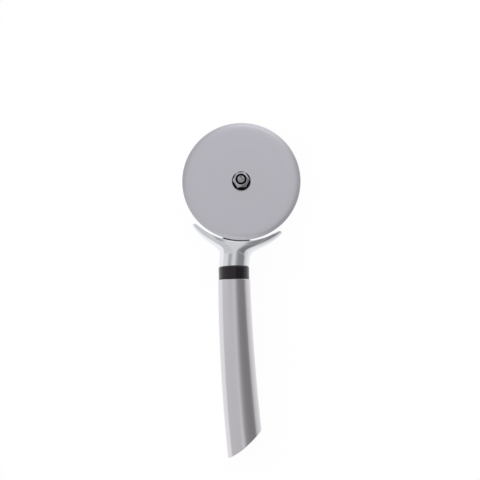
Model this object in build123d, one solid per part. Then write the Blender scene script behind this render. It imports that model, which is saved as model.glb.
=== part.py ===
from build123d import *
import math
import os

# Pizza cutter: a steel wheel on a bolted axle, a cast head with a finger guard, and a hollow curved handle.
# It lies on its back with the lock nut up. Z is the axis of the wheel, and Z = 0 is the plane that the bolt
# head and the belly of the handle rest on. The head points to +Y and the handle to -Y.

# Cutting wheel
wheel_diameter = 70.0
wheel_thickness = 1.0
bevel_width = 2.7
edge_thickness = 0.2

# Axle bolt and lock nut of the number 8 inch size
axle_diameter = 4.17
bolt_head_flats = 6.35
bolt_head_height = 2.8
bolt_overhang = 0.8
bolt_end_chamfer = 0.35
nut_flats = 8.73
nut_turn = 9.0
nut_hex_height = 3.9
nut_collar_height = 2.0
nut_collar_diameter = 8.2
nut_collar_chamfer = 0.5
nut_mouth_diameter = 6.2
nut_lip = 0.3
locking_ring_diameter = 6.8
locking_ring_height = 1.5
hex_chamfer_angle = 30.0
hex_face_share = 0.95

# Bush and washer that the wheel turns between
bush_flange_diameter = 11.0
bush_flange_thickness = 2.0
bush_sleeve_diameter = 7.0
washer_diameter = 13.0
washer_thickness = 1.0

# Head casting: arm, guard, neck and tang
arm_thickness = 4.5
arm_root_width = 16.8
arm_root_depth = 1.5
arm_edge_radius = 1.0
arm_root_radius = 1.4
hub_diameter = 15.0
guard_gap = 1.35
guard_centre_offset = 2.0
guard_half_angle = 40.0
guard_tip_width = 2.45
guard_nose_margin = 0.3
guard_tip_depth = 12.0
guard_tip_lean = 38.6
guard_rim_radius = 0.6
flare_length = 8.55
flare_neck_pull = 5.6
flare_tip_pull = 11.8
neck_diameter = 17.8
neck_length = 6.1
tang_diameter = 9.0
tang_length = 34.0

# Black collar between neck and handle
collar_diameter = 18.0
collar_height = 7.6
collar_edge_radius = 0.8
collar_spigot_length = 3.0

# Hollow handle, its end cap, and the plug and pin that hold the tang
handle_bend_angle = 6.4
handle_curve_radius = 1150.0
handle_length = 96.5
handle_mouth_width = 18.8
handle_end_width = 21.1
handle_depth = 18.4
handle_wall = 1.0
handle_end_angle = 35.0
handle_end_edge_radius = 1.7
end_cap_thickness = 1.2
plug_floor = 6.0
pin_diameter = 3.0
pin_setback = 9.4

# Clearances, measured at the radius or on one side
running_clearance = 0.05
side_play = 0.1
fit_clearance = 0.05

# Levels of the axle stack, from the bolt head up
arm_bottom = bolt_head_height
arm_top = arm_bottom + arm_thickness
washer_top = arm_top + washer_thickness
wheel_bottom = washer_top + side_play
wheel_top = wheel_bottom + wheel_thickness
flange_bottom = wheel_top + side_play
nut_bottom = flange_bottom + bush_flange_thickness
nut_height = nut_hex_height + nut_collar_height
bolt_top = nut_bottom + nut_height + bolt_overhang

# Places that several pieces share
handle_axis_height = handle_depth / 2
neck_radius = neck_diameter / 2
guard_distance = wheel_diameter / 2 + guard_gap
guard_radius = guard_distance + guard_centre_offset
flare_distance = guard_distance + flare_length
seat_distance = flare_distance + neck_length
thread_hole_diameter = axle_diameter + 2 * fit_clearance
tang_end_distance = tang_length - collar_height

# Sections along a loft, and how far the flare runs past the tips of the guard before they are rounded
FLARE_STEPS = 5
HANDLE_STEPS = 4
FLARE_OVERRUN = 1.1
STANDING = (Align.CENTER, Align.CENTER, Align.MIN)


def handle_frame(origin, heading):
    """Plane across the handle: local X is its width, local Y is up, local Z points to its end."""
    across = (math.cos(heading), math.sin(heading), 0)
    along = (math.sin(heading), -math.cos(heading), 0)
    return Plane(origin=origin, x_dir=across, z_dir=along)


start_heading = math.radians(handle_bend_angle)
seat_plane = handle_frame((0, -seat_distance, handle_axis_height), start_heading)
mouth_plane = seat_plane.offset(collar_height)


def handle_plane(distance):
    """Plane square to the curved axis of the handle, at a distance along it from the mouth."""
    heading = start_heading + distance / handle_curve_radius
    mouth = mouth_plane.origin
    x = mouth.X + handle_curve_radius * (math.cos(start_heading) - math.cos(heading))
    y = mouth.Y - handle_curve_radius * (math.sin(heading) - math.sin(start_heading))
    return handle_frame((x, y, mouth.Z), heading)


# The oblique end leans so that the handle is longer on its -X side, and the pin lies across the tang.
end_heading = start_heading + handle_length / handle_curve_radius + math.radians(handle_end_angle)
end_plane = handle_frame(handle_plane(handle_length).origin, end_heading)
pin_frame = Plane(
    origin=mouth_plane.offset(tang_end_distance - pin_setback).origin,
    x_dir=mouth_plane.z_dir,
    z_dir=mouth_plane.x_dir,
)


def oval(plane, width, depth):
    """Elliptical section made of an upper and a lower half, so that all sections of a loft line up."""
    halves = [Edge.make_ellipse(width / 2, depth / 2, plane, start, start + 180) for start in (0, 180)]
    return Face(Wire(halves))


def upright(diameter, bottom, height):
    """Cylinder on the wheel axis."""
    return Pos(0, 0, bottom) * Cylinder(diameter / 2, height, align=STANDING)


def tube(outer, inner, bottom, height):
    """Ring about the wheel axis."""
    return upright(outer, bottom, height) - upright(inner, bottom, height)


def turned(points):
    """Solid of revolution about the wheel axis, from an outline of radius and height."""
    return revolve(make_face(Plane.XZ * Polyline(points, close=True)), Axis.Z)


def hexagon(flats, bottom, height):
    """Hexagon with two flats across Y, whose corners are chamfered at the lower end."""
    corner = flats / math.sqrt(3)
    face = hex_face_share * flats / 2
    rise = (corner - face) * math.tan(math.radians(hex_chamfer_angle))
    blank = extrude(RegularPolygon(corner, 6), height)
    cone = turned([(0, 0), (face, 0), (corner, rise), (corner, height), (0, height)])
    return Pos(0, 0, bottom) * (blank & cone)


def make_cutting_wheel():
    """Disc ground to an edge from both sides, with a running bore for the sleeve of the bush."""
    bore = bush_sleeve_diameter / 2 + running_clearance
    rim = wheel_diameter / 2
    grind = (wheel_thickness - edge_thickness) / 2
    lower = [(bore, 0), (rim - bevel_width, 0), (rim, grind)]
    upper = [(rim, wheel_thickness - grind), (rim - bevel_width, wheel_thickness), (bore, wheel_thickness)]
    return Pos(0, 0, wheel_bottom) * turned(lower + upper)


def make_axle_bolt():
    """Hexagon bolt with its head behind the arm and its end just past the nut."""
    shank = upright(axle_diameter, bolt_head_height, bolt_top - bolt_head_height)
    shank = chamfer(shank.edges().sort_by(Axis.Z)[-1], bolt_end_chamfer)
    return hexagon(bolt_head_flats, 0, bolt_head_height) + shank


def make_lock_nut():
    """Lock nut: a hexagon chamfered at both ends, and a collar with a groove for the locking ring."""
    collar_radius = nut_collar_diameter / 2
    collar = turned([
        (0, 0), (collar_radius, 0), (collar_radius, nut_height - nut_collar_chamfer),
        (collar_radius - nut_collar_chamfer, nut_height), (0, nut_height),
    ])
    lower = hexagon(nut_flats, 0, nut_hex_height)
    upper = Pos(0, 0, nut_hex_height) * Rot(180, 0, 0) * lower
    body = Pos(0, 0, nut_bottom) * Rot(0, 0, nut_turn) * (collar + (lower & upper))
    groove_height = locking_ring_height + 2 * fit_clearance
    groove_bottom = nut_bottom + nut_height - nut_lip - groove_height
    body -= upright(thread_hole_diameter, nut_bottom, nut_height)
    body -= upright(locking_ring_diameter + 2 * fit_clearance, groove_bottom, groove_height)
    return body - upright(nut_mouth_diameter, groove_bottom + groove_height, nut_lip)


def make_nut_locking_ring():
    """Nylon ring in the groove of the lock nut."""
    bottom = nut_bottom + nut_height - nut_lip - locking_ring_height - fit_clearance
    return tube(locking_ring_diameter, thread_hole_diameter, bottom, locking_ring_height)


def make_flanged_bush():
    """Nylon bush: the sleeve carries the wheel, the flange keeps the nut off it."""
    sleeve = tube(bush_sleeve_diameter, thread_hole_diameter, washer_top, flange_bottom - washer_top)
    return sleeve + tube(bush_flange_diameter, thread_hole_diameter, flange_bottom, bush_flange_thickness)


def make_rear_washer():
    """Nylon washer between the arm and the wheel."""
    return tube(washer_diameter, thread_hole_diameter, arm_top, washer_thickness)


def around(radius, angle):
    """Point about the centre of the guard's arc, at an angle from -Y, positive towards +X."""
    turn = math.radians(angle)
    return (radius * math.sin(turn), guard_centre_offset - radius * math.cos(turn))


def flare_point(share):
    """Point on the side of the flare: a cubic curve that leaves the neck straight and ends at the tip."""
    tip = around(guard_radius + guard_tip_width, guard_half_angle)
    lean = math.radians(guard_tip_lean)
    controls = [
        (neck_radius, -flare_distance),
        (neck_radius, flare_neck_pull - flare_distance),
        (tip[0] - flare_tip_pull * math.sin(lean), tip[1] - flare_tip_pull * math.cos(lean)),
        tip,
    ]
    weights = [math.comb(3, k) * share ** k * (1 - share) ** (3 - k) for k in range(4)]
    return [sum(w * point[axis] for w, point in zip(weights, controls)) for axis in (0, 1)]


def guard_outline():
    """Plan of the guard's inner wall, which follows the wheel, and its rounded tips.

    Below the tips the plan is wider than the flare, so it leaves the sides of the flare as they are.
    """
    nose_width = guard_tip_width + guard_nose_margin
    middle = guard_radius + nose_width / 2
    outside = guard_radius + nose_width
    far = 2 * seat_distance
    low = 270 - guard_half_angle
    high = 270 + guard_half_angle
    return make_face([
        CenterArc((0, guard_centre_offset), guard_radius, low, 2 * guard_half_angle),
        CenterArc(around(middle, guard_half_angle), nose_width / 2, high + 180, -180),
        Line(around(outside, guard_half_angle), around(far, guard_half_angle)),
        Line(around(far, guard_half_angle), around(far, -guard_half_angle)),
        Line(around(far, -guard_half_angle), around(outside, -guard_half_angle)),
        CenterArc(around(middle, -guard_half_angle), nose_width / 2, low - 180, 180),
    ])


def make_neck_and_guard():
    """Neck that flares into the crescent guard, hollowed out to clear the wheel."""
    ovals = []
    for step in range(FLARE_STEPS + 1):
        share = FLARE_OVERRUN * step / FLARE_STEPS
        half_width, y = flare_point(share)
        depth = neck_diameter + (guard_tip_depth - neck_diameter) * share ** 2
        plane = Plane(origin=(0, y, handle_axis_height), x_dir=(1, 0, 0), z_dir=(0, 1, 0))
        ovals.append(oval(plane, 2 * half_width, depth))
    neck = split(extrude(ovals[0], -2 * neck_length), seat_plane, Keep.BOTTOM)
    plan = extrude(guard_outline(), neck_diameter, both=True)
    body = (loft(ovals) + neck) & Pos(0, 0, handle_axis_height) * plan
    # The largest round face is the inner wall. Its rims run on smoothly round the tips.
    wall = body.faces().filter_by(GeomType.CYLINDER).sort_by(SortBy.AREA)[-1]
    rims = wall.edges().filter_by(GeomType.LINE, reverse=True)
    return fillet(rims, min(guard_rim_radius, guard_tip_width / 4))


def make_arm():
    """Arm behind the wheel, with a hollow rounding where its root meets the wall of the guard."""
    hub = Circle(hub_diameter / 2)
    root_length = guard_distance + arm_root_depth
    root = Pos(0, -root_length / 2) * Rectangle(arm_root_width, root_length)
    arm = extrude(make_hull(hub.edges() + root.edges()), arm_thickness)
    arm = Pos(0, 0, arm_bottom) * fillet(arm.edges().group_by(Axis.Z)[0], arm_edge_radius)
    start = guard_radius - arm_root_radius
    ring = tube(2 * (guard_radius + arm_root_depth), 2 * start, arm_top, arm_root_radius)
    ring -= Pos(0, 0, arm_top + arm_root_radius) * Torus(start, arm_root_radius)
    hollow = Pos(0, guard_centre_offset, 0) * ring & Pos(0, 0, arm_top) * extrude(root, arm_root_radius)
    return arm + hollow


def make_head_casting():
    """Neck and guard, with the arm behind the wheel and the tang that enters the handle."""
    tang = seat_plane * Cylinder(tang_diameter / 2, tang_length, align=STANDING)
    head = make_neck_and_guard() + make_arm() + tang
    return head - upright(thread_hole_diameter, arm_bottom, arm_thickness) - pin_hole()


def handle_body(inset):
    """Solid of the handle's form, made smaller by an inset and cut off at the oblique end."""
    ovals = []
    run = handle_length + handle_end_width
    for step in range(HANDLE_STEPS + 1):
        share = step / HANDLE_STEPS
        width = handle_end_width - (handle_end_width - handle_mouth_width) * (1 - share) ** 3
        ovals.append(oval(handle_plane(run * share), width - 2 * inset, handle_depth - 2 * inset))
    return split(loft(ovals), end_plane, Keep.BOTTOM)


def between(solid, start, end):
    """Stretch of a handle solid between two distances from the mouth."""
    return split(split(solid, handle_plane(start), Keep.TOP), handle_plane(end), Keep.BOTTOM)


def pin_hole():
    """Cross hole for the pin."""
    return pin_frame * Cylinder(pin_diameter / 2 + fit_clearance, handle_end_width)


def tang_hole():
    """Hole for the tang, through the collar and the plug."""
    radius = tang_diameter / 2 + fit_clearance
    return seat_plane * Cylinder(radius, tang_length + fit_clearance, align=STANDING)


def make_collar_ring():
    """Black collar with a short spigot that centres the mouth of the handle."""
    ring = Cylinder(collar_diameter / 2, collar_height, align=STANDING)
    ring = seat_plane * fillet(ring.edges().sort_by(Axis.Z)[0], collar_edge_radius)
    return ring + between(handle_body(handle_wall + fit_clearance), 0, collar_spigot_length) - tang_hole()


def rounded_handle():
    """Solid of the handle's form with its oblique end rounded."""
    body = handle_body(0)
    end = body.faces().sort_by(Axis(end_plane.origin, end_plane.z_dir))[-1]
    return fillet(end.edges(), handle_end_edge_radius)


def make_handle_shell():
    """Hollow handle, open at both ends."""
    return rounded_handle() - handle_body(handle_wall)


def make_handle_end_cap():
    """Plate that closes the oblique end and carries on the rounding of the shell."""
    inner = handle_body(handle_wall + fit_clearance) & rounded_handle()
    return split(inner, end_plane.offset(-end_cap_thickness), Keep.TOP)


def make_handle_plug():
    """Nylon plug in the mouth of the handle, behind the spigot of the collar."""
    start = collar_spigot_length + fit_clearance
    plug = between(handle_body(handle_wall + fit_clearance), start, tang_end_distance + plug_floor)
    return plug - tang_hole() - pin_hole()


def make_tang_pin():
    """Steel cross pin through the plug and the tang."""
    length = handle_mouth_width - 2 * handle_wall - 2 * fit_clearance
    return pin_frame * Cylinder(pin_diameter / 2, length)


parts = {
    "cutting_wheel": make_cutting_wheel(),
    "axle_bolt": make_axle_bolt(),
    "lock_nut": make_lock_nut(),
    "nut_locking_ring": make_nut_locking_ring(),
    "flanged_bush": make_flanged_bush(),
    "rear_washer": make_rear_washer(),
    "head_casting": make_head_casting(),
    "collar_ring": make_collar_ring(),
    "handle_shell": make_handle_shell(),
    "handle_end_cap": make_handle_end_cap(),
    "handle_plug": make_handle_plug(),
    "tang_pin": make_tang_pin(),
}

os.makedirs("parts", exist_ok=True)
for name, part in parts.items():
    export_step(part, f"parts/{name}.step")
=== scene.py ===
import functools
import math
import bmesh
import bpy
from mathutils import Matrix, Vector


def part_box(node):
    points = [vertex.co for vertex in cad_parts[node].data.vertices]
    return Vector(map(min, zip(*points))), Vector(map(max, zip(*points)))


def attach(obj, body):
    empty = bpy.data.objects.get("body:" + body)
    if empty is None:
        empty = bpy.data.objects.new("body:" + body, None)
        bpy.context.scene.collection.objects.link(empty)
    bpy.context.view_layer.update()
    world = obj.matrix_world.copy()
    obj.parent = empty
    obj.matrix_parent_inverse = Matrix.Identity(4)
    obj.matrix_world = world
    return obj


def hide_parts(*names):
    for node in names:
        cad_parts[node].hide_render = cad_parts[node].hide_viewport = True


# A pizza cutter on its back with the lock nut up, in metres. Z is the axis of the wheel, the head points
# to +Y and the handle to -Y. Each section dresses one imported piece, in the order in which they go together.
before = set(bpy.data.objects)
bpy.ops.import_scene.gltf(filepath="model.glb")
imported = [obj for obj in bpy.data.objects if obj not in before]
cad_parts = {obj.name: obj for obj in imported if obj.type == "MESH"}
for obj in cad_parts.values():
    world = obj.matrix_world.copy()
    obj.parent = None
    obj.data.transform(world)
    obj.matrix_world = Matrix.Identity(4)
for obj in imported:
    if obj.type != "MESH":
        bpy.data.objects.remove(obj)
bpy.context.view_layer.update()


# Head casting: neck, crescent finger guard, arm and tang, cast in zinc in one piece, polished and plated.
# The neck swells into the guard, the arm carries the axle behind the wheel, the tang goes into the handle.
head_low, head_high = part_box("head_casting")
wheel_low, wheel_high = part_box("cutting_wheel")
washer_low, washer_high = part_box("rear_washer")
bolt_low, bolt_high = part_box("axle_bolt")
axis_height = (head_low.z + head_high.z) / 2
neck_radius = (head_high.z - head_low.z) / 2
neck_edge = 0.0003
neck_length = 0.0061
wheel_gap = 0.00135
guard_distance = wheel_high.x + wheel_gap
guard_centre_y = 0.002
guard_radius = guard_distance + guard_centre_y
guard_half_angle = math.radians(39.3)
tip_width = 0.00245
nose_radius = 0.001375
nose_start = math.radians(31)
nose_round = 0.0034
rim_radius = 0.0009
rim_height_share = 0.95
tip_half_depth = 0.006
guard_fullness = 1.5
tip_lean = math.radians(38.6)
tip_pull = 0.0118
neck_pull = 0.0056
flare_length = 0.00855
flare_distance = guard_distance + flare_length
flare_overrun = 1.1
seat_distance = flare_distance + neck_length
handle_bend = math.radians(6.4)
tang_radius = 0.0045
tang_length = 0.034
tang_chamfer = 0.0006
weld = 0.000001
HEAD_SEGMENTS = 128
FLARE_RINGS = 18
RIM_RINGS = 5
HALVINGS = 40
CREST_POWER = 3
FULLNESS_POWER = 4
THINNING_POWER = 3
NOSE_POWER = 4

across = Vector((math.cos(handle_bend), math.sin(handle_bend), 0))
along = Vector((math.sin(handle_bend), -math.cos(handle_bend), 0))
upward = Vector((0, 0, 1))
seat = Vector((0, -seat_distance, axis_height))


def stacked(places, segments):
    """Mesh through a stack of rings: each place gives the point for a turn about its ring."""
    mesh = bmesh.new()
    turn = mesh.verts.layers.float.new("turn")
    for index, vert in enumerate(bmesh.ops.create_circle(mesh, segments=segments, radius=1)["verts"]):
        vert[turn] = 2 * math.pi * index / segments
        vert.co = places[0](vert[turn])
    ring = mesh.edges[:]
    for place in places[1:]:
        grown = bmesh.ops.extrude_edge_only(mesh, edges=ring)["geom"]
        ring = [part for part in grown if isinstance(part, bmesh.types.BMEdge) and part.is_boundary]
        for vert in {vert for edge in ring for vert in edge.verts}:
            vert.co = place(vert[turn])
    return mesh, ring


def closed(mesh):
    """Merges doubles, fills what is open and turns all faces outwards."""
    bmesh.ops.remove_doubles(mesh, verts=mesh.verts, dist=weld)
    bmesh.ops.holes_fill(mesh, edges=mesh.edges, sides=0)
    bmesh.ops.recalc_face_normals(mesh, faces=mesh.faces)
    if mesh.calc_volume(signed=True) < 0:
        bmesh.ops.reverse_faces(mesh, faces=mesh.faces)
    return mesh


def made_piece(name, mesh, sharp_angle=40):
    """Object at the origin from a mesh, smooth up to an angle, with flat faces kept flat."""
    data = bpy.data.meshes.new(name)
    mesh.to_mesh(data)
    mesh.free()
    data.shade_smooth()
    data.set_sharp_from_angle(angle=math.radians(sharp_angle))
    piece = bpy.data.objects.new(name, data)
    bpy.context.scene.collection.objects.link(piece)
    return piece


def even_shading(piece):
    """Lets large faces set the shading where they meet small ones."""
    weighting = piece.modifiers.new("even_shading", "WEIGHTED_NORMAL")
    weighting.keep_sharp = True


def on_curve(controls, share):
    """Point of a Bezier curve, found by joining its controls again and again."""
    while len(controls) > 1:
        controls = [start.lerp(end, share) for start, end in zip(controls, controls[1:])]
    return controls[0]


def reach(inside, far):
    """Largest value between nought and far for which inside still holds, found by halving."""
    near = 0.0
    for _ in range(HALVINGS):
        middle = (near + far) / 2
        if inside(middle):
            near = middle
        else:
            far = middle
    return near


def around(radius, angle):
    """Point in plan about the centre of the guard's arc, at an angle from -Y."""
    return Vector((radius * math.sin(angle), guard_centre_y - radius * math.cos(angle)))


def guard_angle(point):
    """Angle of a point about the centre of the guard's arc, from -Y, alike on both sides."""
    return math.atan2(abs(point.x), guard_centre_y - point.y)


nose_centre = around(guard_radius + nose_radius, guard_half_angle)
tip = around(guard_radius + tip_width, guard_half_angle)
flare_side = [
    Vector((neck_radius, -flare_distance)),
    Vector((neck_radius, -flare_distance + neck_pull)),
    tip - tip_pull * Vector((math.sin(tip_lean), math.cos(tip_lean))),
    tip,
]


def flare(turn, share):
    """Point on the casting's skin: a round section that grows oval, fullest halfway, with a level crest."""
    half_width, y = on_curve(flare_side, share)
    power = 2 + guard_fullness * (4 * share * (1 - share)) ** FULLNESS_POWER
    height = math.sqrt(1 - abs(math.cos(turn)) ** power)
    thinning = (neck_radius - tip_half_depth) * share ** THINNING_POWER * (1 - height ** CREST_POWER)
    rise = math.copysign((neck_radius - thinning) * height, math.sin(turn))
    return Vector((half_width * math.cos(turn), y, axis_height + rise))


def in_plan(point):
    """Whether a point is clear of the guard's inner arc and short of its round nose."""
    spot = Vector((abs(point.x), point.y))
    if guard_angle(point) < guard_half_angle:
        return (spot - around(0, 0)).length > guard_radius
    return (spot - nose_centre).length < nose_radius


@functools.cache
def rim_curve(turn):
    """Where the rim starts along the flare, and the controls of its rounding into the inner wall."""
    end = reach(lambda share: in_plan(flare(turn, share)), flare_overrun)
    corner = flare(turn, end)
    rise = corner.z - axis_height
    nose_share = (guard_angle(corner) - nose_start) / (guard_half_angle - nose_start)
    nose_share = min(max(nose_share, 0), 1)
    rounding = rim_radius + (nose_round - rim_radius) * nose_share ** NOSE_POWER
    setback = min(rounding, rim_height_share * abs(rise))
    small_step = 0.001
    run = (corner - flare(turn, end - small_step)).length / small_step
    start = end - setback / run
    return start, [flare(turn, start), corner, corner - math.copysign(setback, rise) * upward]


def seat_ring(distance, radius):
    """Ring about the axis of the tang, at a distance from the seat of the collar."""
    return lambda turn: seat + distance * along + radius * (
        math.cos(turn) * across + math.sin(turn) * upward
    )


def neck_ring(distance, radius):
    """Ring round the straight neck, parallel to the oblique seat of the collar."""
    return lambda turn: seat + Vector((
        radius * math.cos(turn),
        distance + radius * math.cos(turn) * math.tan(handle_bend),
        radius * math.sin(turn),
    ))


head_rings = [
    seat_ring(tang_length, tang_radius - tang_chamfer),
    seat_ring(tang_length - tang_chamfer, tang_radius),
    seat_ring(0, tang_radius),
    neck_ring(0, neck_radius - neck_edge),
    neck_ring(neck_edge, neck_radius),
]
for step in range(FLARE_RINGS + 1):
    head_rings.append(lambda turn, share=step / FLARE_RINGS: flare(turn, share * rim_curve(turn)[0]))
for step in range(1, RIM_RINGS + 1):
    head_rings.append(lambda turn, share=step / RIM_RINGS: on_curve(rim_curve(turn)[1], share))

head_mesh, rim = stacked(head_rings, HEAD_SEGMENTS)
turn_layer = head_mesh.verts.layers.float["turn"]
one_segment = 2 * math.pi / HEAD_SEGMENTS
upper_rim = []
lower_rim = []
for edge in rim:
    turns = [vert[turn_layer] for vert in edge.verts]
    if one_segment / 2 < min(turns) and max(turns) < math.pi - one_segment / 2:
        upper_rim.append(edge)
    elif math.pi + one_segment / 2 < min(turns):
        lower_rim.append(edge)
bmesh.ops.bridge_loops(head_mesh, edges=upper_rim + lower_rim)
head = made_piece("head", closed(head_mesh))

bolt_head_height = 0.0028
arm_bottom = bolt_low.z + bolt_head_height
arm_top = washer_low.z
arm_half_width = 0.0084
arm_overlap = 0.0015
arm_root = guard_distance + arm_overlap
arm_edge = 0.001
hub_radius = head_high.y
hub_corner = math.acos(hub_radius / arm_half_width)
axle_hole_radius = 0.002135
drill_length = 4 * arm_top
ARM_EDGE_STEPS = 4
HUB_STEPS = 32
DRILL_SEGMENTS = 64


def carved(piece, tool, operation):
    """Joins a tool to a piece or cuts the piece with it, and clears the tool and slivers away."""
    carving = piece.modifiers.new("carving", "BOOLEAN")
    carving.operation = operation
    carving.solver = "EXACT"
    carving.object = tool
    graph = bpy.context.evaluated_depsgraph_get()
    piece.data = bpy.data.meshes.new_from_object(piece.evaluated_get(graph))
    piece.modifiers.clear()
    bpy.data.objects.remove(tool)
    swept = bmesh.new()
    swept.from_mesh(piece.data)
    bmesh.ops.remove_doubles(swept, verts=swept.verts, dist=weld)
    bmesh.ops.dissolve_degenerate(swept, edges=swept.edges, dist=weld)
    swept.to_mesh(piece.data)
    swept.free()


arm_mesh = bmesh.new()
hub_start = arm_mesh.verts.new(
    (hub_radius * math.cos(hub_corner), hub_radius * math.sin(hub_corner), arm_bottom)
)
hub_end = bmesh.ops.spin(
    arm_mesh, geom=[hub_start], cent=(0, 0, 0), axis=upward, angle=math.pi - 2 * hub_corner, steps=HUB_STEPS
)["geom_last"][0]
chain = [hub_end]
for x, y in ((-1, 0), (-1, -arm_root), (1, -arm_root), (1, 0)):
    chain.append(arm_mesh.verts.new((x * arm_half_width, y, arm_bottom)))
chain.append(hub_start)
for pair in zip(chain, chain[1:]):
    arm_mesh.edges.new(pair)
plate = bmesh.ops.contextual_create(arm_mesh, geom=arm_mesh.edges[:])["faces"]
grown = bmesh.ops.extrude_face_region(arm_mesh, geom=plate)["geom"]
for vert in (part for part in grown if isinstance(part, bmesh.types.BMVert)):
    vert.co.z = arm_top
bmesh.ops.recalc_face_normals(arm_mesh, faces=arm_mesh.faces)
bmesh.ops.bevel(
    arm_mesh,
    geom=[edge for edge in arm_mesh.edges if all(vert.co.z == edge.verts[0].co.z for vert in edge.verts)],
    offset=arm_edge,
    segments=ARM_EDGE_STEPS,
    profile=0.5,
    affect="EDGES",
    material=-1,
)
carved(head, made_piece("arm_blank", arm_mesh), "UNION")


def turned(outline, segments, sweep=2 * math.pi):
    """Mesh turned about the wheel axis, fully or in part, from a closed outline of radius and height."""
    mesh = bmesh.new()
    verts = [mesh.verts.new((radius, 0, height)) for radius, height in outline]
    edges = [mesh.edges.new(pair) for pair in zip(verts, verts[1:] + verts[:1])]
    bmesh.ops.spin(
        mesh,
        geom=verts + edges,
        cent=(0, 0, 0),
        axis=upward,
        angle=sweep,
        steps=segments,
        use_merge=sweep == 2 * math.pi,
    )
    return closed(mesh)


root_round = 0.0014
root_start = guard_radius - root_round
hollow = [
    Vector((root_start, arm_top)),
    Vector((guard_radius, arm_top)),
    Vector((guard_radius, arm_top + root_round)),
]
HOLLOW_STEPS = 6
root_outline = [on_curve(hollow, step / HOLLOW_STEPS) for step in range(HOLLOW_STEPS + 1)]
root_outline += [
    (guard_radius + root_round, arm_top + root_round),
    (guard_radius + root_round, arm_bottom + arm_edge),
    (root_start, arm_bottom + arm_edge),
]
root_sweep = 2 * math.asin(arm_half_width / guard_radius)
root_mesh = turned(root_outline, HUB_STEPS, root_sweep)
root_turn = Matrix.Rotation(-math.pi / 2 - root_sweep / 2, 4, "Z")
root_place = Matrix.Translation((0, guard_centre_y, 0)) @ root_turn
bmesh.ops.transform(root_mesh, matrix=root_place, verts=root_mesh.verts)
carved(head, made_piece("arm_root", root_mesh), "UNION")

drill_mesh = bmesh.new()
bmesh.ops.create_cone(
    drill_mesh,
    cap_ends=True,
    segments=DRILL_SEGMENTS,
    radius1=axle_hole_radius,
    radius2=axle_hole_radius,
    depth=drill_length,
)
carved(head, made_piece("axle_drill", drill_mesh), "DIFFERENCE")
even_shading(head)


def add_node(tree, kind, inputs, **settings):
    """Adds a shader node with its settings, and sets or links its inputs."""
    made = tree.nodes.new(kind)
    for name, value in settings.items():
        setattr(made, name, value)
    for name, value in inputs.items():
        if isinstance(value, bpy.types.NodeSocket):
            tree.links.new(value, made.inputs[name])
        else:
            made.inputs[name].default_value = value
    return made


def grain_group(name, detail, breakup):
    """Node group that varies a colour and a roughness with a fine grain and broader patches of it."""
    group = bpy.data.node_groups.new(name, "ShaderNodeTree")
    for socket, kind in (
        ("Vector", "NodeSocketVector"),
        ("Colour", "NodeSocketColor"),
        ("Roughness", "NodeSocketFloat"),
        ("Contrast", "NodeSocketFloat"),
    ):
        group.interface.new_socket(socket, in_out="INPUT", socket_type=kind)
    for socket, kind in (
        ("Colour", "NodeSocketColor"),
        ("Roughness", "NodeSocketFloat"),
        ("Height", "NodeSocketFloat"),
    ):
        group.interface.new_socket(socket, in_out="OUTPUT", socket_type=kind)
    given = group.nodes.new("NodeGroupInput").outputs
    grain = add_node(
        group, "ShaderNodeTexNoise", {"Vector": given["Vector"], "Scale": 1.0, "Detail": detail}
    ).outputs["Fac"]
    patches = add_node(
        group, "ShaderNodeTexNoise", {"Vector": given["Vector"], "Scale": breakup, "Detail": 2.0}
    ).outputs["Fac"]
    both = add_node(group, "ShaderNodeMath", {0: grain, 1: patches}, operation="ADD").outputs[0]
    swing = add_node(group, "ShaderNodeMath", {0: both, 1: 1.0}, operation="SUBTRACT").outputs[0]
    gain = add_node(
        group, "ShaderNodeMath", {0: swing, 1: given["Contrast"], 2: 1.0}, operation="MULTIPLY_ADD"
    ).outputs[0]
    shade = add_node(group, "ShaderNodeVectorMath", {0: given["Colour"], "Scale": gain}, operation="SCALE")
    rough = add_node(group, "ShaderNodeMath", {0: given["Roughness"], 1: gain}, operation="DIVIDE")
    taken = group.nodes.new("NodeGroupOutput").inputs
    group.links.new(shade.outputs[0], taken["Colour"])
    group.links.new(rough.outputs[0], taken["Roughness"])
    group.links.new(grain, taken["Height"])
    return group


def object_grain(tree, scale):
    """Grain coordinates from the object's own place."""
    place = tree.nodes.new("ShaderNodeTexCoord").outputs["Object"]
    return add_node(tree, "ShaderNodeMapping", {"Vector": place, "Scale": scale}).outputs[0]


def finish(name, group, coordinates, scale, colour, roughness, contrast, relief, metallic=0.0, specular=0.5):
    """Material with a grain: its colour, roughness and relief vary, the rest is set on the shader."""
    made = bpy.data.materials.new(name)
    made.use_nodes = True
    tree = made.node_tree
    shader = tree.nodes["Principled BSDF"]
    place = coordinates(tree, scale)
    grain = add_node(
        tree,
        "ShaderNodeGroup",
        {"Vector": place, "Colour": (*colour, 1), "Roughness": roughness, "Contrast": contrast},
        node_tree=group,
    ).outputs
    bump = add_node(tree, "ShaderNodeBump", {"Height": grain["Height"], "Distance": relief})
    tree.links.new(grain["Colour"], shader.inputs["Base Color"])
    tree.links.new(grain["Roughness"], shader.inputs["Roughness"])
    tree.links.new(bump.outputs["Normal"], shader.inputs["Normal"])
    shader.inputs["Metallic"].default_value = metallic
    shader.inputs["Specular IOR Level"].default_value = specular
    return made


metal_grain = grain_group("metal_grain", detail=4.0, breakup=0.07)
plating = finish(
    "satin_plating", metal_grain, object_grain, scale=(900, 900, 900), colour=(0.83, 0.84, 0.88),
    roughness=0.1, contrast=0.04, relief=0.000002, metallic=1.0,
)
head.data.materials.append(plating)
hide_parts("head_casting")
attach(head, "head_and_handle")


# Rear washer: a black nylon washer that lies on the arm and keeps the wheel off it.
# Moulded, with its edges just broken.
washer_edge = 0.0001
sharp_turn = math.radians(25)
nylon_black = (0.002, 0.002, 0.0025)
RING_SEGMENTS = 96


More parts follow.
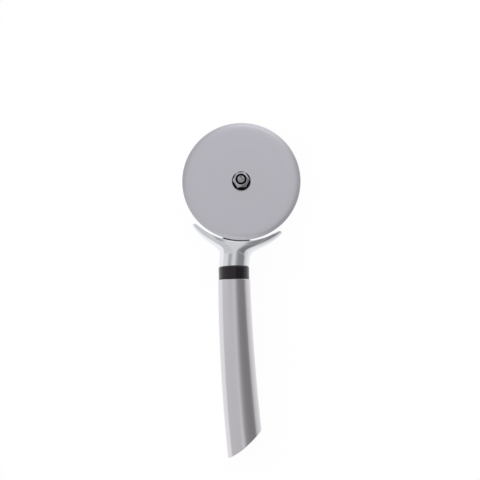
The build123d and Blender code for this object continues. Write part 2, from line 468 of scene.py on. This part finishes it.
def broken_edges(mesh, width, segments):
    """Rounds all the edges of a mesh that turn sharply."""
    sharp = [edge for edge in mesh.edges if edge.calc_face_angle(0) > sharp_turn]
    bmesh.ops.bevel(
        mesh, geom=sharp, offset=width, segments=segments, profile=0.5, affect="EDGES", material=-1
    )
    return mesh


def ring_outline(inner, outer, bottom, top):
    """Outline of a flat ring."""
    return [(inner, bottom), (outer, bottom), (outer, top), (inner, top)]


washer_mesh = turned(
    ring_outline(axle_hole_radius, washer_high.x, washer_low.z, washer_high.z), RING_SEGMENTS
)
washer = made_piece("thrust_washer", broken_edges(washer_mesh, washer_edge, segments=2))
even_shading(washer)
plastic_grain = grain_group("moulded_grain", detail=2.0, breakup=0.2)
nylon = finish(
    "black_nylon", plastic_grain, object_grain, scale=(2500, 2500, 2500), colour=nylon_black,
    roughness=0.5, contrast=0.25, relief=0.000008, specular=0.08,
)
washer.data.materials.append(nylon)
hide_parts("rear_washer")
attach(washer, "head_and_handle")


# Cutting wheel: a stainless disc, satin polished, and ground to an edge from both sides.
# It is punched out of sheet and turns on the sleeve of the bush.
wheel_radius = wheel_high.x
wheel_bore = 0.00355
bevel_width = 0.0016
bevel_start = wheel_radius - bevel_width
bevel_lead = 0.001
crown_width = 0.007
crown_start = wheel_radius - crown_width
crown_lead = 0.0024
crown_drop = 0.00016
edge_half = 0.00016
wheel_middle = (wheel_low.z + wheel_high.z) / 2
WHEEL_SEGMENTS = 256
CROWN_STEPS = 12

bevel_slope = (wheel_high.z - crown_drop - wheel_middle - edge_half) / bevel_width
crown = [
    Vector((crown_start, wheel_high.z)),
    Vector((bevel_start - crown_lead, wheel_high.z)),
    Vector((bevel_start - bevel_lead, wheel_high.z - crown_drop + bevel_slope * bevel_lead)),
    Vector((bevel_start, wheel_high.z - crown_drop)),
]
upper_side = [(wheel_bore, wheel_high.z)]
upper_side += [tuple(on_curve(crown, step / CROWN_STEPS)) for step in range(CROWN_STEPS + 1)]
upper_side.append((wheel_radius, wheel_middle + edge_half))
lower_side = [(radius, 2 * wheel_middle - height) for radius, height in upper_side]
wheel_mesh = turned(upper_side + lower_side[::-1], WHEEL_SEGMENTS)
for face in wheel_mesh.faces:
    face.material_index = int(face.calc_center_median().xy.length > bevel_start - bevel_lead)
wheel = made_piece("blade", wheel_mesh)
even_shading(wheel)


def ring_grain(tree, scale):
    """Grain coordinates that run round the wheel axis: radius, angle and height."""
    place = tree.nodes.new("ShaderNodeTexCoord").outputs["Object"]
    axes = add_node(tree, "ShaderNodeSeparateXYZ", {"Vector": place}).outputs
    flat = add_node(tree, "ShaderNodeCombineXYZ", {"X": axes["X"], "Y": axes["Y"]}).outputs[0]
    radius = add_node(tree, "ShaderNodeVectorMath", {0: flat}, operation="LENGTH").outputs["Value"]
    unit = add_node(tree, "ShaderNodeVectorMath", {0: flat}, operation="NORMALIZE").outputs[0]
    lift = add_node(tree, "ShaderNodeCombineXYZ", {"Z": radius}).outputs[0]
    spread = add_node(tree, "ShaderNodeVectorMath", {0: lift, 1: scale}, operation="MULTIPLY").outputs[0]
    circle = add_node(tree, "ShaderNodeVectorMath", {0: unit, 1: scale}, operation="MULTIPLY").outputs[0]
    return add_node(tree, "ShaderNodeVectorMath", {0: spread, 1: circle}, operation="ADD").outputs[0]


blade_satin = finish(
    "blade_satin", metal_grain, ring_grain, scale=(1.5, 1.5, 2200), colour=(0.63, 0.622, 0.683),
    roughness=0.2, contrast=0.05, relief=0.000003, metallic=1.0,
)
ground_edge = finish(
    "ground_edge", metal_grain, ring_grain, scale=(6, 6, 9000), colour=(0.64, 0.634, 0.695),
    roughness=0.2, contrast=0.1, relief=0.000004, metallic=1.0,
)
wheel.data.materials.append(blade_satin)
wheel.data.materials.append(ground_edge)
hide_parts("cutting_wheel")
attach(wheel, "wheel")


# Flanged bush: black nylon, its sleeve is the wheel's bearing and its flange keeps the nut off the wheel.
# Moulded in one, pressed onto the bolt.
bush_low, bush_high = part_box("flanged_bush")
flange_thickness = 0.002
flange_bottom = bush_high.z - flange_thickness
sleeve_radius = 0.0035
bush_edge = 0.00015

bush_mesh = turned(
    [
        (axle_hole_radius, bush_low.z),
        (sleeve_radius, bush_low.z),
        (sleeve_radius, flange_bottom),
        (bush_high.x, flange_bottom),
        (bush_high.x, bush_high.z),
        (axle_hole_radius, bush_high.z),
    ],
    RING_SEGMENTS,
)
bush = made_piece("bearing_bush", broken_edges(bush_mesh, bush_edge, segments=3))
even_shading(bush)
bush.data.materials.append(nylon)
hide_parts("flanged_bush")
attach(bush, "head_and_handle")


# Axle bolt: a hexagon machine screw of bright plated steel, put through the arm from behind.
# The head is cold formed and the thread rolled. The end stands a little out of the nut.
bolt_flats = 0.00635
bolt_head_top = arm_bottom
bolt_radius = 0.002085
thread_root = 0.00165
thread_pitch = 0.000794
end_chamfer = 0.00035
hex_chamfer = math.tan(math.radians(30))
hex_face_share = 0.95
hex_sharp_angle = 25
bolt_wear = 0.00006
thread_overlap = 0.001
thread_bottom = bush_high.z - thread_overlap
crest_start = 0.44
crest_end = 0.56
thread_weld = 0.000002
run_out = 0.0003
SPARE_TURNS = 2
THREAD_STEPS = 32
HEX_SEGMENTS = 96


def level_ring(radius, height):
    """Round ring about the wheel axis."""
    return lambda turn: Vector((radius * math.cos(turn), radius * math.sin(turn), height))


def hex_ring(flats, height, slope, start=0.0):
    """Ring on the six flats where a cone that chamfers the corners cuts them."""
    def place(turn):
        from_flat = turn % (math.pi / 3) - math.pi / 6
        radius = flats / 2 / math.cos(from_flat)
        rise = slope * (radius - hex_face_share * flats / 2)
        return Vector((radius * math.cos(turn + start), radius * math.sin(turn + start), height + rise))
    return place


bolt_mesh, _ = stacked(
    [
        level_ring(hex_face_share * bolt_flats / 2, bolt_low.z),
        hex_ring(bolt_flats, bolt_low.z, hex_chamfer),
        hex_ring(bolt_flats, bolt_head_top, 0),
        level_ring(bolt_radius, bolt_head_top),
        level_ring(bolt_radius, thread_bottom),
        level_ring(thread_root / 2, thread_bottom + run_out),
    ],
    HEX_SEGMENTS,
)
worn_bolt_mesh = broken_edges(closed(bolt_mesh), bolt_wear, segments=2)
bolt = made_piece("axle_screw", worn_bolt_mesh, hex_sharp_angle)

thread_mesh = bmesh.new()
thread_turns = math.ceil((bolt_high.z - thread_bottom) / thread_pitch) + SPARE_TURNS
ridge_outline = [(thread_root, 0), (bolt_radius, crest_start), (bolt_radius, crest_end), (thread_root, 1)]
ridge = [
    thread_mesh.verts.new((radius, 0, thread_bottom + (share - SPARE_TURNS) * thread_pitch))
    for radius, share in ridge_outline
]
ridge_edges = [thread_mesh.edges.new(pair) for pair in zip(ridge, ridge[1:])]
bmesh.ops.spin(
    thread_mesh,
    geom=ridge + ridge_edges,
    cent=(0, 0, 0),
    axis=upward,
    dvec=(0, 0, thread_pitch / THREAD_STEPS),
    angle=2 * math.pi * thread_turns,
    steps=THREAD_STEPS * thread_turns,
)
bmesh.ops.remove_doubles(thread_mesh, verts=thread_mesh.verts, dist=thread_weld)
thread_cuts = [(thread_bottom - thread_pitch / 2, -1), (bolt_high.z - end_chamfer, 0), (bolt_high.z, 1)]
for height, side in thread_cuts:
    bmesh.ops.bisect_plane(
        thread_mesh,
        geom=thread_mesh.verts[:] + thread_mesh.edges[:] + thread_mesh.faces[:],
        plane_co=(0, 0, height),
        plane_no=(0, 0, 1),
        clear_outer=side > 0,
        clear_inner=side < 0,
    )
for vert in thread_mesh.verts:
    limit = bolt_radius + min(0, bolt_high.z - end_chamfer - vert.co.z)
    if vert.co.xy.length > limit:
        vert.co.xy *= limit / vert.co.xy.length
carved(bolt, made_piece("thread", closed(thread_mesh), hex_sharp_angle), "UNION")
even_shading(bolt)
bright_steel = finish(
    "bright_steel", metal_grain, object_grain, scale=(3000, 3000, 3000), colour=(0.57, 0.57, 0.6),
    roughness=0.22, contrast=0.15, relief=0.000004, metallic=1.0,
)
screw_steel = finish(
    "screw_steel", metal_grain, object_grain, scale=(800, 800, 800), colour=(0.4, 0.395, 0.43),
    roughness=0.34, contrast=2.0, relief=0.00002, metallic=1.0,
)
bolt.data.materials.append(bright_steel)
bolt.data.materials.append(screw_steel)
for face in bolt.data.polygons:
    face.material_index = int(face.center.z > bolt_head_top)
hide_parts("axle_bolt")
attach(bolt, "head_and_handle")


# Lock nut: a plated steel hexagon whose collar is crimped over a nylon ring.
# It is run down on the flange of the bush until the wheel just turns freely.
nut_low, nut_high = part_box("lock_nut")
nut_flats = 0.00873
nut_turn = math.radians(9)
nut_hex_height = 0.0039
nut_hex_top = nut_low.z + nut_hex_height
nut_collar = 0.0041
nut_mouth = 0.00325
nut_crimp = 0.0007
nut_lip = 0.0003
ring_groove = 0.00345
groove_depth = 0.0019
groove_bottom = nut_high.z - groove_depth
nut_wear = 0.00008
CRIMP_RINGS = 4

crimp_curve = [
    Vector((nut_collar, nut_high.z - nut_crimp)),
    Vector((nut_collar, nut_high.z)),
    Vector((nut_collar - nut_crimp, nut_high.z)),
]
nut_rings = [
    level_ring(axle_hole_radius, nut_low.z),
    level_ring(hex_face_share * nut_flats / 2, nut_low.z),
    hex_ring(nut_flats, nut_low.z, hex_chamfer, nut_turn),
    hex_ring(nut_flats, nut_hex_top, -hex_chamfer, nut_turn),
    level_ring(nut_collar, nut_hex_top),
]
for step in range(CRIMP_RINGS + 1):
    nut_rings.append(level_ring(*on_curve(crimp_curve, step / CRIMP_RINGS)))
nut_rings += [
    level_ring(nut_mouth, nut_high.z),
    level_ring(nut_mouth, nut_high.z - nut_lip),
    level_ring(ring_groove, nut_high.z - nut_lip),
    level_ring(ring_groove, groove_bottom),
    level_ring(axle_hole_radius, groove_bottom),
    level_ring(axle_hole_radius, nut_low.z),
]
nut_mesh, _ = stacked(nut_rings, HEX_SEGMENTS)
nut = made_piece("hex_lock_nut", closed(nut_mesh), hex_sharp_angle)
nut_bevel = nut.modifiers.new("worn_corners", "BEVEL")
nut_bevel.width = nut_wear
nut_bevel.segments = 2
nut_bevel.limit_method = "ANGLE"
nut_bevel.angle_limit = math.radians(40)
even_shading(nut)
nut.data.materials.append(bright_steel)
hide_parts("lock_nut")
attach(nut, "head_and_handle")


# Locking ring: a dark nylon ring held in the mouth of the nut, which grips the thread of the bolt.
# Stamped, and rounded where the bolt has come through.
insert_low, insert_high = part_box("nut_locking_ring")
insert_edge = 0.0003

insert_mesh = turned(
    ring_outline(axle_hole_radius, insert_high.x, insert_low.z, insert_high.z), RING_SEGMENTS
)
insert = made_piece("locking_insert", broken_edges(insert_mesh, insert_edge, segments=4))
even_shading(insert)
insert.data.materials.append(nylon)
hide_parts("nut_locking_ring")
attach(insert, "head_and_handle")


# Handle shell: a hollow stainless handle, oval and slightly curved, satin brushed along its length.
# It is formed from tube, its mouth sits on the collar and its far end is cut off obliquely.
shell_low, shell_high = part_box("handle_shell")
collar_height = 0.0076
curve_radius = 1.15
handle_length = 0.0965
mouth_width = 0.0188
end_width = 0.0211
handle_depth = shell_high.z - shell_low.z
wall = 0.00075
mouth_edge = 0.00025
end_edge = 0.0004
end_tip_round = 0.0005
end_bulge_radius = 0.08
end_turn = math.radians(-1.6)
end_angle = math.radians(35)
SWELL_POWER = 1.6
TIP_POWER = 3
CROWDING_POWER = 2
HANDLE_SEGMENTS = 128
HANDLE_RINGS = 32
END_RINGS = 8

mouth = seat + collar_height * along
bend_centre = mouth + curve_radius * across
swell_run = handle_length + end_width


def handle_point(side, height, distance):
    """Point in the handle: to its side, above its axis, at a distance along its curve from the mouth."""
    heading = handle_bend + distance / curve_radius
    outwards = Vector((math.cos(heading), math.sin(heading), 0))
    return bend_centre - (curve_radius - side) * outwards + height * upward


end_bend = handle_bend + handle_length / curve_radius
end_heading = end_bend + end_angle + end_turn
end_normal = Vector((math.sin(end_heading), -math.cos(end_heading), 0))
end_centre = handle_point(0, 0, handle_length) - end_bulge_radius * end_normal


def end_gap(point):
    """How far a point lies short of the oblique end, which bulges a little."""
    return end_bulge_radius - (point - end_centre).xy.length


def skin_point(turn, distance, inset):
    """Point on the handle's oval skin, or on a skin inside it by an inset."""
    width = end_width - (end_width - mouth_width) * (1 - distance / swell_run) ** SWELL_POWER
    half_width = width / 2 - inset
    half_depth = handle_depth / 2 - inset
    return handle_point(half_width * math.cos(turn), half_depth * math.sin(turn), distance)


@functools.cache
def end_distance(turn, inset, setback):
    """Distance along the skin at which it is short of the oblique end by a setback."""
    return reach(lambda distance: end_gap(skin_point(turn, distance, inset)) > setback, swell_run)


def end_shoulder(turn):
    """Directions out of the skin and out of the oblique end where they meet, and the radius between them."""
    side, height = Vector((math.cos(turn) / end_width, math.sin(turn) / handle_depth)).normalized()
    outward = Vector((side * math.cos(end_bend), side * math.sin(end_bend), height))
    corner = skin_point(turn, end_distance(turn, 0.0, 0.0), 0.0)
    facing = (corner - end_centre) * Vector((1, 1, 0))
    facing.normalize()
    tip_share = max(0.0, -side)
    return outward, facing, end_edge + (end_tip_round - end_edge) * tip_share ** TIP_POWER


def end_setback(turn):
    """How far from the oblique end, and from the skin, the rounding between them starts."""
    outward, facing, radius = end_shoulder(turn)
    return radius * (1 - outward.dot(facing))


def end_point(turn, inset):
    """Point on the rounded oblique end, inside the skin by an inset."""
    setback = end_setback(turn)
    if inset >= setback:
        return skin_point(turn, end_distance(turn, inset, 0.0), inset)
    outward, facing, radius = end_shoulder(turn)
    start = skin_point(turn, end_distance(turn, 0.0, setback), 0.0)
    share = math.acos(1 - inset / radius) / outward.angle(facing)
    return start + radius * (outward.slerp(facing, share) - outward)


def outer_ring(share):
    """Ring on the skin, at a share of the way from the mouth to the rounded end."""
    def place(turn):
        end = end_distance(turn, 0.0, end_setback(turn))
        return skin_point(turn, mouth_edge + (end - mouth_edge) * share, 0.0)
    return place


def inner_ring(share, inset, setback=0.0):
    """Ring inside the skin, at a share of the way from the mouth to a place behind the rounded end."""
    def place(turn):
        gap = end_gap(end_point(turn, inset)) + setback
        return skin_point(turn, share * end_distance(turn, inset, gap), inset)
    return place


shell_rings = [inner_ring(0, wall), inner_ring(0, mouth_edge)]
for step in range(HANDLE_RINGS + 1):
    shell_rings.append(outer_ring(step / HANDLE_RINGS))
for step in range(1, END_RINGS + 1):
    depth = wall * (step / END_RINGS) ** CROWDING_POWER
    shell_rings.append(lambda turn, inset=depth: end_point(turn, inset))
for step in range(1, HANDLE_RINGS + 1):
    shell_rings.append(inner_ring(1 - step / HANDLE_RINGS, wall))
shell_mesh, _ = stacked(shell_rings, HANDLE_SEGMENTS)
closed(shell_mesh)
straight = shell_mesh.verts.layers.float_vector.new("straightened")
for vert in shell_mesh.verts:
    from_centre = vert.co - bend_centre
    heading = math.atan2(-from_centre.y, -from_centre.x)
    vert[straight] = (
        curve_radius - from_centre.xy.length,
        curve_radius * (heading - handle_bend),
        from_centre.z,
    )
shell = made_piece("handle", shell_mesh)
even_shading(shell)


def straight_grain(tree, scale):
    """Grain coordinates along the curved handle, as if it were straight."""
    place = add_node(tree, "ShaderNodeAttribute", {}, attribute_name="straightened").outputs["Vector"]
    return add_node(tree, "ShaderNodeMapping", {"Vector": place, "Scale": scale}).outputs[0]


handle_steel = (0.72, 0.697, 0.735)
brushed_steel = finish(
    "brushed_steel", metal_grain, straight_grain, scale=(2600, 40, 2600), colour=handle_steel,
    roughness=0.18, contrast=0.1, relief=0.000004, metallic=1.0,
)
shell.data.materials.append(brushed_steel)
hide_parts("handle_shell")
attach(shell, "head_and_handle")


# Handle end cap: a stainless plate let into the oblique end, flush with the shell.
# Stamped from sheet and bonded in, so a fine seam shows round it.
cap_thickness = 0.0012
cap_seam = 0.00005
cap_inset = wall + cap_seam
cap_edge = 0.00015
cap_flat = end_tip_round * (1 + math.sin(end_angle))
CAP_RINGS = 6

cap_rings = [
    lambda turn: skin_point(turn, end_distance(turn, cap_inset, cap_thickness), cap_inset),
    inner_ring(1, cap_inset, cap_edge),
]
for step in range(CAP_RINGS + 1):
    depth = cap_inset + cap_edge + (cap_flat - cap_inset - cap_edge) * step / CAP_RINGS
    cap_rings.append(lambda turn, inset=depth: end_point(turn, inset))
cap_mesh, _ = stacked(cap_rings, HANDLE_SEGMENTS)
cap = made_piece("end_plate", closed(cap_mesh))
even_shading(cap)
cap_steel = finish(
    "cap_steel", metal_grain, object_grain, scale=(2600, 2600, 120), colour=handle_steel,
    roughness=0.3, contrast=0.12, relief=0.000004, metallic=1.0,
)
cap.data.materials.append(cap_steel)
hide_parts("handle_end_cap")
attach(cap, "head_and_handle")


# Collar: a black plastic ring between neck and handle, threaded on the tang.
# Moulded, with a rounded upper edge and a short spigot that centres the mouth of the handle.
collar_radius = 0.009
collar_round = 0.0008
collar_edge = 0.0002
collar_gap = 0.00005
spigot_inset = wall + collar_gap
spigot_length = 0.003
tang_hole = tang_radius + collar_gap
collar_tint = (1, 0.86, 1, 1)
ROUND_RINGS = 5

round_curve = [
    Vector((0, collar_radius - collar_round)),
    Vector((0, collar_radius)),
    Vector((collar_round, collar_radius)),
]
collar_rings = [seat_ring(0, tang_hole)]
for step in range(ROUND_RINGS + 1):
    collar_rings.append(seat_ring(*on_curve(round_curve, step / ROUND_RINGS)))
collar_rings += [
    seat_ring(collar_height - collar_edge, collar_radius),
    seat_ring(collar_height, collar_radius - collar_edge),
    lambda turn: skin_point(turn, 0, spigot_inset),
    lambda turn: skin_point(turn, spigot_length, spigot_inset),
    seat_ring(collar_height + spigot_length, tang_hole),
    seat_ring(0, tang_hole),
]
collar_mesh, _ = stacked(collar_rings, HANDLE_SEGMENTS)
collar = made_piece("collar", closed(collar_mesh))
even_shading(collar)
collar_black = finish(
    "collar_black", plastic_grain, object_grain, scale=(1800, 1800, 1800), colour=(0.0015, 0.001, 0.002),
    roughness=0.12, contrast=0.2, relief=0.000006, specular=0.45,
)
collar_shader = collar_black.node_tree.nodes["Principled BSDF"]
collar_shader.inputs["Specular Tint"].default_value = collar_tint
collar_shader.inputs["Sheen Weight"].default_value = 1.0
collar_shader.inputs["Sheen Roughness"].default_value = 0.42
collar.data.materials.append(collar_black)
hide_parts("collar_ring")
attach(collar, "head_and_handle")


# Plug and pin: inside the handle a nylon plug holds the tang, and a steel pin goes across both.
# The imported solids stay, with the finish of moulded nylon and of plain steel.
plug_nylon = finish(
    "plug_nylon", plastic_grain, object_grain, scale=(1500, 1500, 1500), colour=(0.55, 0.54, 0.5),
    roughness=0.45, contrast=0.1, relief=0.000006,
)
for node, made in (("handle_plug", plug_nylon), ("tang_pin", bright_steel)):
    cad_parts[node].data.materials.clear()
    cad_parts[node].data.materials.append(made)


# Floor: a plain white sheet of card that the cutter lies on, and that takes its shadow.
# Lens, metal and glass see it almost as a light of its own; its dimming to the right in the metal is painted
# shade.
floor_half = 4
floor_gap = 0.0001
floor_grey = (0.9, 0.9, 0.9, 1)
floor_share = 0.86
floor_level = 1.08
floor_shade_glow = 0.76
floor_fall = 0.08
floor_mesh = bmesh.new()
bmesh.ops.create_grid(
    floor_mesh, x_segments=1, y_segments=1, size=floor_half, matrix=Matrix.Translation((0, 0, -floor_gap))
)
floor = made_piece("floor", floor_mesh)
floor_white = bpy.data.materials.new("floor_white")
floor_white.use_nodes = True
floor_tree = floor_white.node_tree
floor_tree.nodes.clear()
rays = floor_tree.nodes.new("ShaderNodeLightPath").outputs
seen = add_node(
    floor_tree, "ShaderNodeMath", {0: rays["Is Camera Ray"], 1: rays["Is Glossy Ray"]}, operation="MAXIMUM"
).outputs[0]
seen = add_node(
    floor_tree, "ShaderNodeMath", {0: seen, 1: rays["Is Transmission Ray"]}, operation="MAXIMUM"
).outputs[0]
share = add_node(floor_tree, "ShaderNodeMath", {0: seen, 1: floor_share}, operation="MULTIPLY").outputs[0]
lit = add_node(floor_tree, "ShaderNodeBsdfDiffuse", {"Color": floor_grey}).outputs[0]
place = floor_tree.nodes.new("ShaderNodeTexCoord").outputs["Object"]
sideways = add_node(floor_tree, "ShaderNodeSeparateXYZ", {"Vector": place}).outputs["X"]
# Painted shade: in the metal the floor's glow falls to a dimmer level towards the right.
dimmed_glow = add_node(
    floor_tree,
    "ShaderNodeMapRange",
    {"Value": sideways, "From Min": 0.0, "From Max": floor_fall, "To Min": floor_level, "To Max": floor_shade_glow},
).outputs[0]
strength = add_node(
    floor_tree, "ShaderNodeMix", {"Factor": rays["Is Glossy Ray"], "A": floor_level, "B": dimmed_glow}
).outputs["Result"]
white = add_node(floor_tree, "ShaderNodeEmission", {"Color": (1, 1, 1, 1), "Strength": strength}).outputs[0]
mixed = add_node(floor_tree, "ShaderNodeMixShader", {0: share, 1: lit, 2: white}).outputs[0]
add_node(floor_tree, "ShaderNodeOutputMaterial", {"Surface": mixed})
floor.data.materials.append(floor_white)


# Studio light: a pale dome, dim along the right, with a bright panel at the back, small lights in front and
# in the far right corner, a dim fill at the near right and a grey flag at the left. The lens sees white.
# Places are an angle about the handle's line, positive to the right, and a slope to the back, in degrees.
dome_levels = [
    (-180, 0.9), (-90, 0.76), (-50, 0.71), (0, 0.68), (3.3, 0.65), (8.2, 0.53), (14.2, 0.41),
    (22, 0.3), (32, 0.26), (60, 0.24), (75, 0.3), (90, 0.8), (180, 0.9),
]
dome_lean = 1.0
lean_level = math.radians(0.5)
lean_from = math.radians(-8)
lean_to = math.radians(4)
back_levels = [(-90, 0.85), (-8, 0.92), (3, 1.05), (90, 1.05)]
panel_level = 1.05
panel_across = [(-11, 0), (-4, 1), (7, 1), (13, 0)]
panel_to_back = [(9, 0), (15, 0.2), (18, 0.45), (24, 1), (30, 1), (38, 0)]
front_level = 0.94
front_across = [(-14, 0), (-6, 1), (4, 1), (10, 0)]
front_to_back = [(-22, 0), (-15, 1), (-8.5, 1), (-5.8, 0)]
fill_level = 0.36
fill_across = [(12, 0), (22, 1), (60, 1), (75, 0)]
fill_to_back = [(-16, 0), (-10, 1), (-5, 1), (-1.5, 0)]
corner_level = 0.9
corner_across = [(10, 0), (22, 1), (60, 1), (80, 0)]
corner_to_back = [(18, 0), (30, 1), (60, 1), (80, 0)]
flag_level = 0.42
flag_across = [(-51, 0), (-41, 1), (-26, 1), (-11, 0)]
flag_to_back = [(0.5, 0), (3.5, 1), (30, 1), (40, 0)]

studio = bpy.data.worlds.new("studio")
studio.use_nodes = True
sky = studio.node_tree
axes = add_node(
    sky, "ShaderNodeSeparateXYZ", {"Vector": sky.nodes.new("ShaderNodeTexCoord").outputs["Generated"]}
).outputs
across_angle = add_node(sky, "ShaderNodeMath", {0: axes["X"], 1: axes["Z"]}, operation="ARCTAN2").outputs[0]
back_angle = add_node(sky, "ShaderNodeMath", {0: axes["Y"]}, operation="ARCSINE").outputs[0]


def by_angle(angle, levels):
    """Grey level that runs straight between the levels given at some angles in degrees."""
    place = add_node(
        sky, "ShaderNodeMapRange", {"Value": angle, "From Min": -math.pi, "From Max": math.pi}
    ).outputs[0]
    ramp = add_node(sky, "ShaderNodeValToRGB", {"Fac": place})
    stops = ramp.color_ramp.elements
    stops.remove(stops[0])
    for index, (degrees, level) in enumerate(levels):
        stop = stops[0] if index == 0 else stops.new((degrees + 180) / 360)
        stop.position = (degrees + 180) / 360
        stop.color = (level, level, level, 1)
    return ramp.outputs["Color"]


def over(light, level, across, to_back):
    """Light with a soft edged card of one level in front of it."""
    cover = add_node(
        sky,
        "ShaderNodeMath",
        {0: by_angle(across_angle, across), 1: by_angle(back_angle, to_back)},
        operation="MULTIPLY",
    ).outputs[0]
    return add_node(sky, "ShaderNodeMix", {"Factor": cover, "A": light, "B": level}).outputs["Result"]


lean = add_node(
    sky,
    "ShaderNodeMapRange",
    {
        "Value": back_angle,
        "From Min": lean_from,
        "From Max": lean_to,
        "To Min": dome_lean * (lean_level - lean_from),
        "To Max": dome_lean * (lean_level - lean_to),
    },
).outputs[0]
leaning = add_node(sky, "ShaderNodeMath", {0: across_angle, 1: lean}, operation="ADD").outputs[0]
dome = add_node(
    sky,
    "ShaderNodeMath",
    {0: by_angle(leaning, dome_levels), 1: by_angle(back_angle, back_levels)},
    operation="MULTIPLY",
).outputs[0]
filled = over(dome, fill_level, fill_across, fill_to_back)
lit_front = over(filled, front_level, front_across, front_to_back)
lit_corner = over(lit_front, corner_level, corner_across, corner_to_back)
lit_back = over(lit_corner, panel_level, panel_across, panel_to_back)
flagged = over(lit_back, flag_level, flag_across, flag_to_back)
to_lens = sky.nodes.new("ShaderNodeLightPath").outputs["Is Camera Ray"]
strength = add_node(sky, "ShaderNodeMix", {"Factor": to_lens, "A": flagged, "B": 1.0}).outputs["Result"]
sky.links.new(strength, sky.nodes["Background"].inputs["Strength"])
sky.nodes["Background"].inputs["Color"].default_value = (1, 1, 1, 1)
bpy.context.scene.world = studio


# Camera: almost straight above the cutter, a little towards the handle, turned so that the handle hangs down.
# Its place and lens are fitted to the wheel's rim, the nut, the collar and the outline of the handle.
camera_target = Vector((0.00226, -0.03487, 0.009))
camera_distance = 0.6
camera_azimuth = math.radians(14.97)
camera_elevation = math.radians(84.54)
camera_roll = math.radians(-10.02)
camera_lens = 76.44

camera = bpy.data.objects.new("camera", bpy.data.cameras.new("camera"))
camera.data.lens = camera_lens
level = math.cos(camera_elevation)
back = Vector((
    level * math.sin(camera_azimuth), -level * math.cos(camera_azimuth), math.sin(camera_elevation)
))
right = Vector((math.cos(camera_azimuth), math.sin(camera_azimuth), 0))
above = back.cross(right)
rolled_right = math.cos(camera_roll) * right + math.sin(camera_roll) * above
rolled_above = math.cos(camera_roll) * above - math.sin(camera_roll) * right
aim = Matrix((rolled_right, rolled_above, back)).transposed().to_4x4()
camera.matrix_world = Matrix.Translation(camera_target + camera_distance * back) @ aim
bpy.context.scene.collection.objects.link(camera)
bpy.context.scene.camera = camera
bpy.context.scene.view_settings.view_transform = "Standard"
